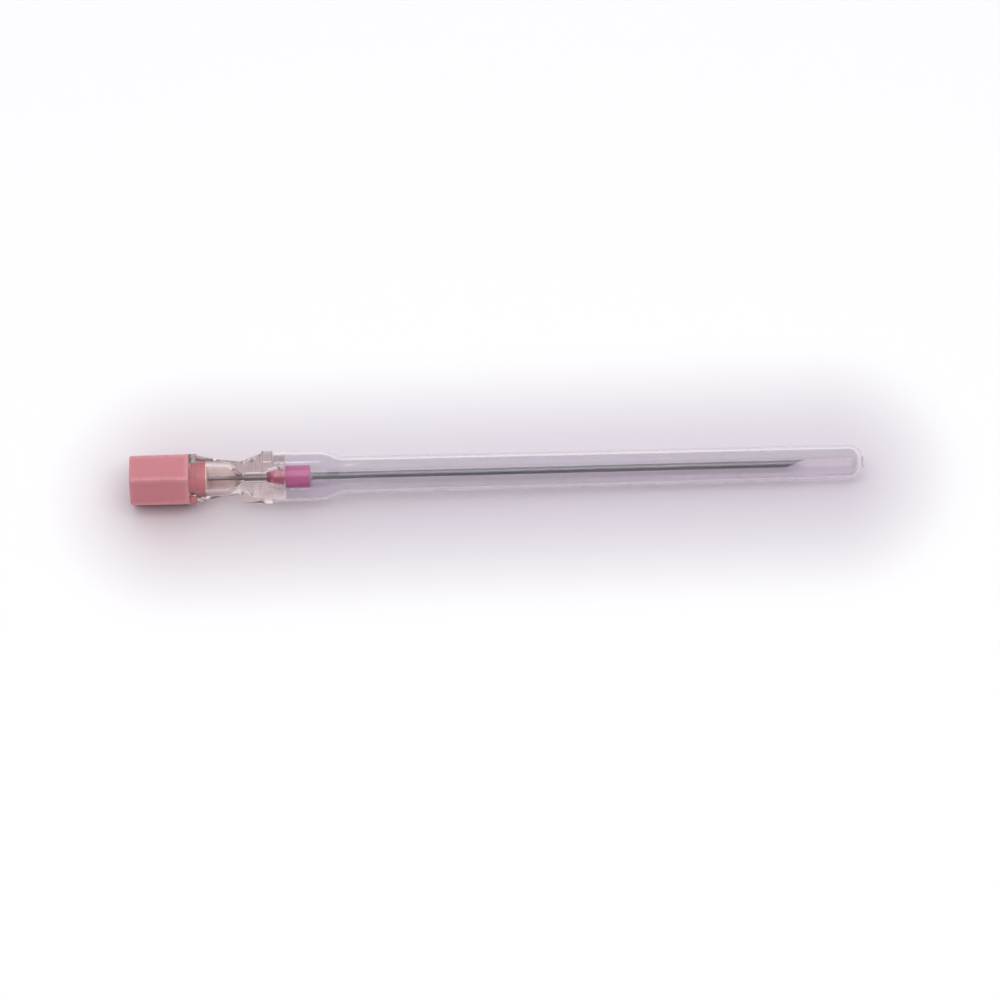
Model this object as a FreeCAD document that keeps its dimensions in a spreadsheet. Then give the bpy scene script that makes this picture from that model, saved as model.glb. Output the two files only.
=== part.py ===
import FreeCAD, Part
import math
import os
import Sketcher

# Spinal needle, 18 gauge by 90 mm, with its stylet and its protective cover.
# The needle's axis is X and its tip points to +X. The origin is on that axis, at the hub's
# rear face, where a syringe goes in once the stylet is out. Each piece is drawn with the
# bevel, the key and the lug facing +Z, and is then rolled about X to the way it lies.

# Driving sizes: name, value and what it measures. Millimetres, unless the words say otherwise.
SIZES = [
    ("rest_roll", "120", "degrees about X from the drawn way up to the way it lies"),
    # Stylet cap
    ("cap_flats", "9.1", "across the flats of the cap and of the hub's rear flange"),
    ("cap_len", "10.7", "length of the cap's six-sided grip"),
    ("cap_draft", "0.4", "degrees of draft on the grip's six sides"),
    ("cap_round", "0.45", "radius on the grip's long edges and rear edges"),
    ("seat_gap", "0.05", "gap between the seated cap and the hub"),
    ("plug_len", "2.95", "reach of the cap's round plug into the hub"),
    ("plug_play", "0.05", "gap all round the plug"),
    ("plug_round", "0.3", "radius on the plug's end"),
    ("key_width", "2.2", "width of the key that sets the bevel direction"),
    ("key_len", "1.2", "reach of the key into the hub's flange"),
    ("key_foot", "2.65", "distance from the axis to the key's inner side"),
    ("key_play", "0.1", "gap all round the key in its notch"),
    # Hub
    ("luer_dia", "4.3", "mouth of the syringe socket"),
    ("luer_taper", "0.06", "socket diameter lost in each unit of depth"),
    ("luer_depth", "7.5", "depth of the syringe socket"),
    ("funnel_len", "2.7", "length of the funnel that leads the stylet in"),
    ("throat_dia", "0.9", "small end of the funnel"),
    ("throat_len", "0.15", "ledge that the cannula butts on"),
    ("flange_len", "1.3", "thickness of the rear flange"),
    ("flange_round", "0.3", "radius on the corners of the rear flange"),
    ("body_dia", "8.6", "body where it leaves the rear flange"),
    ("neck_at", "4.6", "distance from the rear face to the neck"),
    ("neck_dia", "7.1", "body at the neck"),
    ("waist_at", "9.2", "distance from the rear face to the waist"),
    ("waist_dia", "5.9", "body at the waist"),
    ("waist_round", "2.5", "radius that blends the waist"),
    ("flare_len", "3.5", "length of the flare from the waist"),
    ("flare_dia", "8.6", "large end of the flare"),
    ("front_at", "13.1", "distance from the rear face to the front flange"),
    ("front_dia", "9.7", "diameter of the front flange"),
    ("front_flat", "4.75", "distance from the axis to each flat of the front flange"),
    ("front_len", "2", "thickness of the front flange"),
    ("nose_dia", "8.1", "nose that the cover grips"),
    ("nose_len", "2.3", "length of the nose"),
    ("nose_round", "0.3", "radius on the nose's front edge"),
    ("lug_width", "3", "width of the lug that marks the bevel side"),
    ("lug_len", "3.6", "length of the lug behind the front flange"),
    ("lug_top", "4.6", "distance from the axis to the lug's flat top"),
    ("lug_round", "0.4", "radius on the lug's top edges"),
    # Cannula and stylet wire
    ("needle_dia", "1.27", "outside of the cannula"),
    ("lumen_dia", "0.84", "bore of the cannula"),
    ("reach", "90", "length of cannula that stands out of the collar"),
    ("bevel_len", "3.6", "length of the ground bevel"),
    ("lancet_roll", "34", "degrees that each side facet is turned about the needle"),
    ("lancet_len", "2.6", "length over which a side facet crosses the cannula's diameter"),
    ("wire_dia", "0.76", "stylet wire"),
    ("wire_grip", "6", "length of wire held in the cap"),
    ("wire_setback", "0.05", "how far the wire's end lies behind the bevel"),
    ("bond_gap", "0.01", "gap between pieces that are bonded or moulded together"),
    # Collar and adhesive
    ("tail_at", "14", "distance from the rear face to the thin end of the collar's tail"),
    ("tail_dia", "1.9", "thin end of the collar's conical tail"),
    ("cone_dia", "3.4", "thick end of the collar's conical tail"),
    ("cone_play", "0.03", "gap all round the tail in the hub's nose"),
    ("collar_dia", "4", "outside of the collar"),
    ("collar_len", "4.4", "length of the collar in front of the nose"),
    ("collar_round", "0.25", "radius on the collar's front edge"),
    ("well_dia", "2.3", "adhesive well in the collar's front"),
    ("well_depth", "0.8", "depth of the well"),
    ("bead_rise", "0.45", "height of the adhesive's cone above the collar"),
    # Cover
    ("cover_gap", "0.3", "gap between the front flange and the cover's mouth"),
    ("cover_play", "0.04", "gap all round the nose in the cover"),
    ("cover_len", "106.9", "length of the cover"),
    ("socket_wall", "0.5", "wall of the cover's socket"),
    ("socket_len", "9.1", "length of the cover's wide socket"),
    ("socket_draft", "0.1", "radius that the socket loses along its length"),
    ("lip_rise", "0.1", "how far the mouth's lip stands out of the socket"),
    ("lip_len", "1.3", "length of the mouth's lip"),
    ("lip_round", "0.08", "radius on the lip's edges"),
    ("shoulder_len", "3", "length of the cone between socket and tube"),
    ("tube_dia", "6.9", "outside of the tube at the shoulder"),
    ("tube_wall", "0.7", "wall of the tube"),
    ("tube_end_dia", "6.4", "outside of the tube at its closed end"),
    ("end_wall", "0.9", "thickness of the closed end"),
    ("end_round", "2.6", "radius on the closed end"),
    ("shoulder_round", "3", "radius that blends the shoulder"),
]

doc = FreeCAD.newDocument("SpinalNeedle")
sheet = doc.addObject("Spreadsheet::Sheet", "Sizes")
for row, (alias, number, words) in enumerate(SIZES, start=1):
    sheet.set(f"A{row}", alias)
    sheet.set(f"B{row}", number)
    sheet.set(f"C{row}", words)
    sheet.setAlias(f"B{row}", alias)
doc.recompute()


class Length:
    """A measure that carries both its value and the sheet expression that gives it."""

    def __init__(self, value, text):
        self.value = value
        self.text = text

    def joined(self, other, sign, value):
        return Length(value, f"({self.text} {sign} {other.text})")

    def __add__(self, other):
        other = as_length(other)
        return self.joined(other, "+", self.value + other.value)

    def __sub__(self, other):
        other = as_length(other)
        return self.joined(other, "-", self.value - other.value)

    def __mul__(self, other):
        other = as_length(other)
        return self.joined(other, "*", self.value * other.value)

    def __truediv__(self, other):
        other = as_length(other)
        return self.joined(other, "/", self.value / other.value)

    def __neg__(self):
        return Length(-self.value, f"(-{self.text})")


def as_length(item):
    """A Length as it is, or a bare number as a Length."""
    return item if isinstance(item, Length) else Length(float(item), repr(item))


def size(alias):
    """The driving size of that name."""
    return Length(float(sheet.get(alias)), f"Sizes.{alias}")


def cosine(angle):
    """The cosine of an angle in degrees."""
    return Length(math.cos(math.radians(angle.value)), f"cos({angle.text})")


ZERO = Length(0.0, "0")
ROOT_THREE = Length(math.sqrt(3), "sqrt(3)")


# Bodies and sketches

def new_body(label):
    """A body that is named after its piece and rolled to the way that the object lies."""
    body = doc.addObject("PartDesign::Body", label)
    body.Label = label
    body.Placement = FreeCAD.Placement(
        FreeCAD.Vector(0, 0, 0), FreeCAD.Rotation(FreeCAD.Vector(1, 0, 0), 1)
    )
    body.setExpression("Placement.Rotation.Angle", "Sizes.rest_roll")
    return body


def new_sketch(body, name, role, along=ZERO, turn=ZERO):
    """A sketch on one of the body's origin planes, moved along its normal and turned about its x."""
    sketch = body.newObject("Sketcher::SketchObject", name)
    plane = next(item for item in body.Origin.OriginFeatures if item.Role == role)
    sketch.AttachmentSupport = [(plane, "")]
    sketch.MapMode = "FlatFace"
    if along is not ZERO:
        sketch.setExpression("AttachmentOffset.Base.z", along.text)
    if turn is not ZERO:
        sketch.AttachmentOffset = FreeCAD.Placement(
            FreeCAD.Vector(0, 0, 0), FreeCAD.Rotation(FreeCAD.Vector(1, 0, 0), turn.value)
        )
        sketch.setExpression("AttachmentOffset.Rotation.Angle", turn.text)
    return sketch


def hold(sketch, shape, end, kind, length):
    """Tie one point's distance from the sketch's origin to a length."""
    if length is ZERO:
        axis = -2 if kind == "DistanceX" else -1
        sketch.addConstraint(Sketcher.Constraint("PointOnObject", shape, end, axis))
        return
    index = sketch.addConstraint(Sketcher.Constraint(kind, -1, 1, shape, end, length.value))
    sketch.setExpression(f"Constraints[{index}]", length.text)


def draw_outline(sketch, corners):
    """A closed outline of straight lines through corners, each an (x, y) pair of lengths."""
    count = len(corners)
    points = [FreeCAD.Vector(x.value, y.value, 0) for x, y in corners]
    for index in range(count):
        sketch.addGeometry(Part.LineSegment(points[index], points[(index + 1) % count]), False)
    for index in range(count):
        sketch.addConstraint(Sketcher.Constraint("Coincident", index, 2, (index + 1) % count, 1))
    for index, (x, y) in enumerate(corners):
        hold(sketch, index, 1, "DistanceX", x)
        hold(sketch, index, 1, "DistanceY", y)


def draw_circle(sketch, diameter):
    """A circle round the sketch's origin."""
    circle = Part.Circle(FreeCAD.Vector(0, 0, 0), FreeCAD.Vector(0, 0, 1), diameter.value / 2)
    shape = sketch.addGeometry(circle, False)
    sketch.addConstraint(Sketcher.Constraint("Coincident", shape, 3, -1, 1))
    index = sketch.addConstraint(Sketcher.Constraint("Diameter", shape, diameter.value))
    sketch.setExpression(f"Constraints[{index}]", diameter.text)


def hexagon(flats):
    """The six corners of a hexagon with its flats facing up and down."""
    corner = flats / ROOT_THREE
    half = corner / 2
    flat = flats / 2
    return [(corner, ZERO), (half, flat), (-half, flat), (-corner, ZERO), (-half, -flat), (half, -flat)]


def turned(body, name, corners, kind="Revolution"):
    """A profile of (distance along X, radius) corners turned about the needle's axis.

    A Revolution adds the turned solid, and a Groove takes it away.
    """
    sketch = new_sketch(body, name + "Profile", "XZ_Plane")
    draw_outline(sketch, corners)
    feature = body.newObject("PartDesign::" + kind, name)
    feature.Profile = sketch
    feature.ReferenceAxis = (sketch, ["H_Axis"])
    feature.Angle = 360
    doc.recompute()
    return feature


def padded(body, name, sketch, length, backwards=False):
    """Material from a sketch, for a length along its normal or against it."""
    feature = body.newObject("PartDesign::Pad", name)
    feature.Profile = sketch
    feature.setExpression("Length", length.text)
    feature.Reversed = backwards
    doc.recompute()
    return feature


def cut_through(body, name, sketch):
    """Take a sketch's outline out of the whole body, on both sides of its plane."""
    feature = body.newObject("PartDesign::Pocket", name)
    feature.Profile = sketch
    feature.Type = "ThroughAll"
    feature.Midplane = True
    doc.recompute()
    return feature


def rounded(body, name, radius, wanted):
    """Fillet those edges of the body's last feature that the function wanted picks."""
    doc.recompute()
    base = body.Tip
    names = [f"Edge{n}" for n, edge in enumerate(base.Shape.Edges, start=1) if wanted(edge)]
    if not names:
        raise RuntimeError(f"{body.Label}: no edge found for {name}")
    feature = body.newObject("PartDesign::Fillet", name)
    feature.Base = (base, names)
    feature.setExpression("Radius", radius.text)
    doc.recompute()
    return feature


NEAR = 1e-3


def is_ring(edge, along, radius):
    """Whether an edge lies round the needle's axis at that place and radius."""
    first, last = edge.ParameterRange
    places = [edge.valueAt(first + (last - first) * share) for share in (0, 0.3, 0.7)]
    return all(abs(p.x - along) < NEAR and abs(off_axis(p) - radius) < NEAR for p in places)


def is_straight(edge):
    """Whether an edge is a straight line."""
    first, last = edge.ParameterRange
    start, middle, end = edge.valueAt(first), edge.valueAt((first + last) / 2), edge.valueAt(last)
    return (start + end - middle * 2).Length < NEAR


def off_axis(point):
    """A point's distance from the needle's axis."""
    return math.hypot(point.y, point.z)


# Places that several pieces share

needle_radius = size("needle_dia") / 2
cannula_back = size("luer_depth") + size("funnel_len") + size("throat_len")
front_face = size("front_at") + size("front_len")
nose_end = front_face + size("nose_len")
collar_front = nose_end + size("collar_len")
tip = collar_front + size("reach")
cap_front = -size("seat_gap")
luer_slope = size("luer_taper") / 2
luer_radius = size("luer_dia") / 2
luer_floor_radius = luer_radius - luer_slope * size("luer_depth")
cap_corner = size("cap_flats") / ROOT_THREE


# Stylet cap: a six-sided grip, a round plug with the socket's taper, and the key

def make_stylet_cap():
    body = new_body("stylet_cap")
    grip_outline = new_sketch(body, "GripOutline", "YZ_Plane", along=cap_front)
    draw_outline(grip_outline, hexagon(size("cap_flats")))
    grip = padded(body, "Grip", grip_outline, size("cap_len"), backwards=True)
    grip.setExpression("TaperAngle", (-size("cap_draft")).text)
    doc.recompute()

    cap_back = cap_front - size("cap_len")
    smallest_corner = cap_corner.value - 2 * size("cap_round").value

    def long_or_rear(edge):
        first, last = edge.Vertexes[0].Point, edge.Vertexes[-1].Point
        is_long = abs(first.x - last.x) > size("cap_len").value / 2
        is_rear = max(first.x, last.x) < cap_back.value + NEAR
        return (is_long or is_rear) and off_axis(first) > smallest_corner

    rounded(body, "GripRounding", size("cap_round"), long_or_rear)

    base_radius = luer_radius - size("plug_play")
    plug_end = size("plug_len")
    turned(body, "Plug", [
        (cap_front - size("cap_round"), ZERO),
        (cap_front - size("cap_round"), base_radius),
        (ZERO + cap_front, base_radius),
        (plug_end, base_radius - luer_slope * plug_end),
        (plug_end, ZERO),
    ])
    end_radius = base_radius.value - luer_slope.value * plug_end.value
    rounded(body, "PlugRounding", size("plug_round"), lambda edge: is_ring(edge, plug_end.value, end_radius))

    key_outline = new_sketch(body, "KeyOutline", "YZ_Plane", along=cap_front)
    half = size("key_width") / 2
    top = size("cap_flats") / 2 - size("cap_round")
    foot = size("key_foot")
    draw_outline(key_outline, [(-half, foot), (half, foot), (half, top), (-half, top)])
    padded(body, "Key", key_outline, size("key_len") + size("seat_gap"))

    wire_seat = new_sketch(body, "WireSeatOutline", "YZ_Plane", along=plug_end)
    draw_circle(wire_seat, size("wire_dia") + size("bond_gap") * 2)
    seat = body.newObject("PartDesign::Pocket", "WireSeat")
    seat.Profile = wire_seat
    seat.setExpression("Length", (size("wire_grip") + size("bond_gap")).text)
    doc.recompute()
    return body


# The ground point that the cannula and the stylet wire share: one long bevel, and a facet on
# each side of it that meets the other at the tip

def grind_point(body, setback):
    """Cut the bevel and its two side facets, all of them setback behind the cannula's own."""
    point = tip - setback
    spare = size("needle_dia")
    bevel_run = size("bevel_len") / size("needle_dia")
    bevel = new_sketch(body, "BevelOutline", "XZ_Plane")
    draw_outline(bevel, [
        (point - size("bevel_len") - spare * bevel_run, needle_radius + spare),
        (point + spare * bevel_run, -needle_radius - spare),
        (point + spare * bevel_run, needle_radius + spare),
    ])
    cut_through(body, "Bevel", bevel)
    facet_run = size("lancet_len") / size("needle_dia")
    sharp_end = -needle_radius * cosine(size("lancet_roll"))
    for side, turn in (("Left", size("lancet_roll")), ("Right", -size("lancet_roll"))):
        facet = new_sketch(body, side + "FacetOutline", "XZ_Plane", turn=turn)
        draw_outline(facet, [
            (point - spare * 2 * facet_run, sharp_end + spare * 2),
            (point + spare * facet_run, sharp_end - spare),
            (point + spare * facet_run, sharp_end + spare * 2),
        ])
        cut_through(body, side + "Facet", facet)


def make_stylet_wire():
    body = new_body("stylet_wire")
    wire_back = size("plug_len") - size("wire_grip")
    section = new_sketch(body, "WireSection", "YZ_Plane", along=wire_back)
    draw_circle(section, size("wire_dia"))
    padded(body, "Wire", section, tip - wire_back)
    grind_point(body, size("wire_setback"))
    return body


def make_cannula():
    body = new_body("cannula")
    section = new_sketch(body, "TubeSection", "YZ_Plane", along=cannula_back)
    draw_circle(section, size("needle_dia"))
    padded(body, "Tube", section, tip - cannula_back)
    lumen_section = new_sketch(body, "LumenSection", "YZ_Plane", along=cannula_back)
    draw_circle(lumen_section, size("lumen_dia"))
    lumen = body.newObject("PartDesign::Pocket", "Lumen")
    lumen.Profile = lumen_section
    lumen.Type = "ThroughAll"
    lumen.Reversed = True
    doc.recompute()
    grind_point(body, ZERO)
    return body


# Hub: waisted body, a six-sided rear flange, a round front flange with a flat on each side of
# the lug, the nose and the lug itself, bored from end to end

def make_needle_hub():
    body = new_body("needle_hub")
    flare_end = size("waist_at") + size("flare_len")
    nose_radius = size("nose_dia") / 2
    turned(body, "Barrel", [
        (ZERO, ZERO),
        (ZERO, size("body_dia") / 2),
        (size("flange_len"), size("body_dia") / 2),
        (size("neck_at"), size("neck_dia") / 2),
        (size("waist_at"), size("waist_dia") / 2),
        (flare_end, size("flare_dia") / 2),
        (front_face, size("flare_dia") / 2 - size("lug_round") / 2),
        (front_face, nose_radius),
        (nose_end, nose_radius),
        (nose_end, ZERO),
    ])
    waist = (size("waist_at").value, size("waist_dia").value / 2)
    rounded(body, "WaistRounding", size("waist_round"), lambda edge: is_ring(edge, *waist))
    rounded(body, "NoseRounding", size("nose_round"),
            lambda edge: is_ring(edge, nose_end.value, nose_radius.value))

    lug_outline = new_sketch(body, "LugOutline", "XZ_Plane", along=-size("lug_width") / 2)
    draw_outline(lug_outline, [
        (front_face - size("front_len") / 2, waist_radius_inside()),
        (size("front_at") - size("lug_len"), waist_radius_inside()),
        (size("front_at") - size("lug_len"), size("lug_top")),
        (front_face - size("front_len") / 2, size("lug_top")),
    ])
    padded(body, "Lug", lug_outline, size("lug_width"))
    lug_back = size("front_at").value - size("lug_len").value
    lug_side = size("lug_width").value / 2
    lug_top = size("lug_top").value

    def on_lug_top(edge):
        first, last = edge.Vertexes[0].Point, edge.Vertexes[-1].Point
        on_top = min(first.z, last.z) > lug_top - NEAR
        on_back = max(first.x, last.x) < lug_back + NEAR
        on_side = min(abs(first.y), abs(last.y)) > lug_side - NEAR
        runs_back = abs(first.y - last.y) < NEAR and on_top and on_side
        return is_straight(edge) and on_top and (on_back or runs_back)

    rounded(body, "LugRounding", size("lug_round"), on_lug_top)

    rear_outline = new_sketch(body, "RearFlangeOutline", "YZ_Plane")
    draw_outline(rear_outline, hexagon(size("cap_flats")))
    padded(body, "RearFlange", rear_outline, size("flange_len"))
    front_outline = new_sketch(body, "FrontFlangeOutline", "YZ_Plane", along=size("front_at"))
    draw_circle(front_outline, size("front_dia"))
    padded(body, "FrontFlange", front_outline, size("front_len"))
    for side, name in ((-1, "LeftFlat"), (1, "RightFlat")):
        flat_outline = new_sketch(body, name + "Outline", "YZ_Plane", along=size("front_at"))
        draw_outline(flat_outline, beyond_flat(side))
        flat = body.newObject("PartDesign::Pocket", name)
        flat.Profile = flat_outline
        flat.Reversed = True
        flat.setExpression("Length", size("front_len").text)
        doc.recompute()

    rear_corner = cap_corner.value

    def flange_corner(edge):
        first, last = edge.Vertexes[0].Point, edge.Vertexes[-1].Point
        along_x = is_straight(edge) and abs(first.x - last.x) > NEAR
        return along_x and abs(off_axis(first) - rear_corner) < NEAR

    rounded(body, "FlangeRounding", size("flange_round"), flange_corner)

    notch_outline = new_sketch(body, "NotchOutline", "YZ_Plane")
    half = size("key_width") / 2 + size("key_play")
    foot = size("key_foot") - size("key_play")
    top = size("cap_flats") / 2 + size("key_play")
    draw_outline(notch_outline, [(-half, foot), (half, foot), (half, top), (-half, top)])
    notch = body.newObject("PartDesign::Pocket", "Notch")
    notch.Profile = notch_outline
    notch.Reversed = True
    notch.setExpression("Length", (size("key_len") + size("key_play")).text)
    doc.recompute()

    bore_radius = needle_radius + size("bond_gap")
    throat_radius = size("throat_dia") / 2
    funnel_end = size("luer_depth") + size("funnel_len")
    tail_radius = size("tail_dia") / 2 + size("cone_play")
    cone_radius = size("cone_dia") / 2 + size("cone_play")
    past = size("nose_len")
    turned(body, "Bore", [
        (-past, ZERO),
        (-past, luer_radius),
        (ZERO, luer_radius),
        (size("luer_depth"), luer_floor_radius),
        (funnel_end, throat_radius),
        (cannula_back, throat_radius),
        (cannula_back, bore_radius),
        (size("tail_at") - size("cone_play"), bore_radius),
        (size("tail_at") - size("cone_play"), tail_radius),
        (nose_end, cone_radius),
        (nose_end + past, cone_radius),
        (nose_end + past, ZERO),
    ], "Groove")
    return body


def beyond_flat(side):
    """Corners of what a flat takes off the front flange. The flat's normal is 60 degrees from the lug."""
    near = size("front_flat")
    far = size("front_dia") / 2 + size("flange_round")
    half = size("front_dia") / 4
    return [
        ((ROOT_THREE * out - across) / 2 * side, (ROOT_THREE * across + out) / 2)
        for out, across in ((near, -half), (near, half), (far, half), (far, -half))
    ]


def waist_radius_inside():
    """A radius that lies well inside the hub's wall at the waist, where the lug is rooted."""
    return size("waist_dia") / 2 - size("lug_round")


# Collar: conical tail in the nose, a shoulder on the nose's face, and an adhesive well

def make_hub_collar():
    body = new_body("hub_collar")
    bore_radius = needle_radius + size("bond_gap")
    well_radius = size("well_dia") / 2
    turned(body, "CollarTurning", [
        (size("tail_at"), bore_radius),
        (size("tail_at"), size("tail_dia") / 2),
        (nose_end, size("cone_dia") / 2),
        (nose_end, size("collar_dia") / 2),
        (collar_front, size("collar_dia") / 2),
        (collar_front, well_radius),
        (collar_front - size("well_depth"), well_radius),
        (collar_front - size("well_depth"), bore_radius),
    ])
    rounded(body, "CollarRounding", size("collar_round"),
            lambda edge: is_ring(edge, collar_front.value, size("collar_dia").value / 2))
    return body


# Bond bead: fills the well and climbs a little way up the cannula

def make_bond_bead():
    body = new_body("bond_bead")
    inner = needle_radius + size("bond_gap")
    outer = size("well_dia") / 2 - size("bond_gap")
    turned(body, "BeadTurning", [
        (collar_front - size("well_depth") + size("bond_gap"), inner),
        (collar_front - size("well_depth") + size("bond_gap"), outer),
        (collar_front - size("bond_gap"), outer),
        (collar_front + size("bead_rise"), inner + size("bond_gap")),
        (collar_front + size("bead_rise"), inner),
    ])
    return body


# Cover: lipped mouth, socket on the hub's nose, shoulder, and a long tapered tube closed at its end

def make_needle_cover():
    body = new_body("needle_cover")
    mouth = front_face + size("cover_gap")
    cover_end = mouth + size("cover_len")
    socket_end = mouth + size("socket_len")
    tube_start = socket_end + size("shoulder_len")
    inside_start = size("nose_dia") / 2 + size("cover_play")
    outside_start = inside_start + size("socket_wall")
    outside_end = outside_start - size("socket_draft")
    inside_end = inside_start - size("socket_draft")
    lip_radius = outside_start + size("lip_rise")
    lip_end = mouth + size("lip_len")
    tube_radius = size("tube_dia") / 2
    end_radius = size("tube_end_dia") / 2
    nose_reach = nose_end + size("cover_gap")
    turned(body, "CoverTurning", [
        (mouth, inside_start),
        (mouth, lip_radius),
        (lip_end, lip_radius),
        (lip_end, outside_start),
        (socket_end, outside_end),
        (tube_start, tube_radius),
        (cover_end, end_radius),
        (cover_end, ZERO),
        (cover_end - size("end_wall"), ZERO),
        (cover_end - size("end_wall"), end_radius - size("tube_wall")),
        (tube_start, tube_radius - size("tube_wall")),
        (socket_end, inside_end),
        (nose_reach, inside_start),
    ])
    rounded(body, "EndRounding", size("end_round"),
            lambda edge: is_ring(edge, cover_end.value, end_radius.value))
    inner_end = (cover_end.value - size("end_wall").value, end_radius.value - size("tube_wall").value)
    rounded(body, "InnerEndRounding", size("end_round") - size("end_wall"),
            lambda edge: is_ring(edge, *inner_end))
    blends = [
        (socket_end.value, outside_end.value),
        (tube_start.value, tube_radius.value),
        (tube_start.value, tube_radius.value - size("tube_wall").value),
        (socket_end.value, inside_end.value),
    ]
    rounded(body, "ShoulderRounding", size("shoulder_round"),
            lambda edge: any(is_ring(edge, *blend) for blend in blends))
    lips = [(mouth.value, lip_radius.value), (lip_end.value, lip_radius.value)]
    rounded(body, "LipRounding", size("lip_round"),
            lambda edge: any(is_ring(edge, *lip) for lip in lips))
    return body


pieces = [
    make_stylet_cap(),
    make_stylet_wire(),
    make_needle_hub(),
    make_cannula(),
    make_hub_collar(),
    make_bond_bead(),
    make_needle_cover(),
]
doc.recompute()

failed = [item.Label for item in doc.Objects if "Invalid" in item.State or "Error" in item.State]
if failed:
    raise RuntimeError("failed to build: " + ", ".join(failed))
for piece in pieces:
    if piece.Shape.isNull() or not piece.Shape.isValid() or len(piece.Shape.Solids) != 1:
        raise RuntimeError("not one sound solid: " + piece.Label)

os.makedirs("parts", exist_ok=True)
for piece in pieces:
    piece.Shape.exportStep(f"parts/{piece.Label}.step")
    box = piece.Shape.optimalBoundingBox()
    print(f"{piece.Label}: volume {piece.Shape.Volume:.2f}, x {box.XMin:.2f} to {box.XMax:.2f}, "
          f"y {box.YMin:.2f} to {box.YMax:.2f}, z {box.ZMin:.2f} to {box.ZMax:.2f}")
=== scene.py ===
"""Spinal needle with its stylet in place and its clear cover pushed on, lying on a pale table.

Every length below is in metres. The needle's axis is the X axis, the tip points towards +X,
and the origin is the middle of the hub's rear face. Each shape is worked out upright, with
the bevel, the key and the lug facing +Z, and is then rolled to the way that the needle lies.
"""

import bmesh
import bpy
import numpy as np
from bpy.props import FloatProperty, FloatVectorProperty, PointerProperty
from mathutils import Matrix, Vector


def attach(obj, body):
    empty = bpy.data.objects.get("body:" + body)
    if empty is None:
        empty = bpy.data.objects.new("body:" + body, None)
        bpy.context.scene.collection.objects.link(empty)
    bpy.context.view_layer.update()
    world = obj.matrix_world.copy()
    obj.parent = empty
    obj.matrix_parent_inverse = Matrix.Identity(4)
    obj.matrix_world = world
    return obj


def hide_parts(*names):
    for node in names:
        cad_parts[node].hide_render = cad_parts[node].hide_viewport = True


bl_info = {
    "name": "Spinal needle",
    "version": (1, 0, 0),
    "blender": (4, 5, 0),
    "location": "View3D > Sidebar > Needle",
    "description": "Builds a covered spinal needle with its stylet, and the table that it lies on",
    "category": "Add Mesh",
}

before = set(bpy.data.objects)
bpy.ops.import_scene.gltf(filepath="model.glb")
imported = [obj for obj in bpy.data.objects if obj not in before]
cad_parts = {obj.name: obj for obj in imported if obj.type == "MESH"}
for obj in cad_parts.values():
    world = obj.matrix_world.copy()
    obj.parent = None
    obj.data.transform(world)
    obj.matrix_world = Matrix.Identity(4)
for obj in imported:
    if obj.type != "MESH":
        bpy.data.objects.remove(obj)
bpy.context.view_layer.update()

MM = 0.001
AROUND = 160  # points round a turned piece
THIN_AROUND = 96  # points round the steel and the adhesive
ARC_STEPS = 6  # steps of a quarter circle on an edge
BLEND_STEPS = 16  # steps of a quarter circle on a long soft blend
SHARP_ANGLE = np.radians(28)  # an edge that bends by more looks sharp
HALF_FACE = np.radians(30)  # half a hexagon's side, seen from its axis
FACET_TURN = np.radians(34)  # how far a side facet of the bevel is turned about the needle
SUPPORT = 0.02 * MM  # from a rounded edge to the ring that keeps the flat beside it flat
FIT = 0.01 * MM  # gap between surfaces that are bonded or lie face to face
ON_AXIS = 1e-7  # radius of a ring that stands for a point on the axis
MERGED = 2e-7  # points nearer than this are one point
SYRINGE_SLOPE = 0.03  # fall of a syringe cone's radius along its length
BARREL_END = 4.3 * MM  # radius of the hub's barrel beside its flanges
CAUGHT_TURNS = 6.5  # turns in clear plastic after which light counts as caught
COVER_REFLECTIONS = 2.5  # reflections within the cover's long wall, after which it does too
WHITE = (1.0, 1.0, 1.0, 1.0)


# Sizes and colours

def length(name, description, millimetres):
    """A length property whose default is given in millimetres."""
    return FloatProperty(
        name=name, description=description, default=millimetres * MM, min=0.0,
        unit="LENGTH", subtype="DISTANCE", precision=5,
    )


def angle(name, description, degrees):
    """An angle property whose default is given in degrees."""
    return FloatProperty(
        name=name, description=description, default=np.radians(degrees), subtype="ANGLE",
    )


def colour(name, description, red, green, blue):
    """A colour property, its default given as scene-linear red, green and blue."""
    return FloatVectorProperty(
        name=name, description=description, default=(red, green, blue), min=0.0, max=1.0,
        size=3, subtype="COLOR",
    )


class CapSizes(bpy.types.PropertyGroup):
    """Sizes of the stylet's cap."""

    flats: length("Across flats", "Width of the six-sided grip at its front", 9.1)
    grip: length("Grip length", "Length of the six-sided grip", 10.7)
    gap: length("Seat gap", "Gap between the cap and the hub's rear face", 0.05)
    taper: length("Taper", "How far each flat leans in along the grip", 0.0747)
    edge: length("Edge radius", "Radius on the grip's corners and rear edges", 0.45)
    plug: length("Plug length", "How far the plug reaches into the hub", 2.95)
    plug_radius: length("Plug radius", "Radius of the plug at the hub's rear face", 2.154)
    plug_edge: length("Plug edge", "Radius on the plug's front edge", 0.3)
    key_width: length("Key width", "Width of the key beside the plug", 2.2)
    key_length: length("Key length", "How far the key reaches into the hub's notch", 1.2)
    key_foot: length("Key foot", "Distance from the axis to the key's inner face", 2.65)


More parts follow.
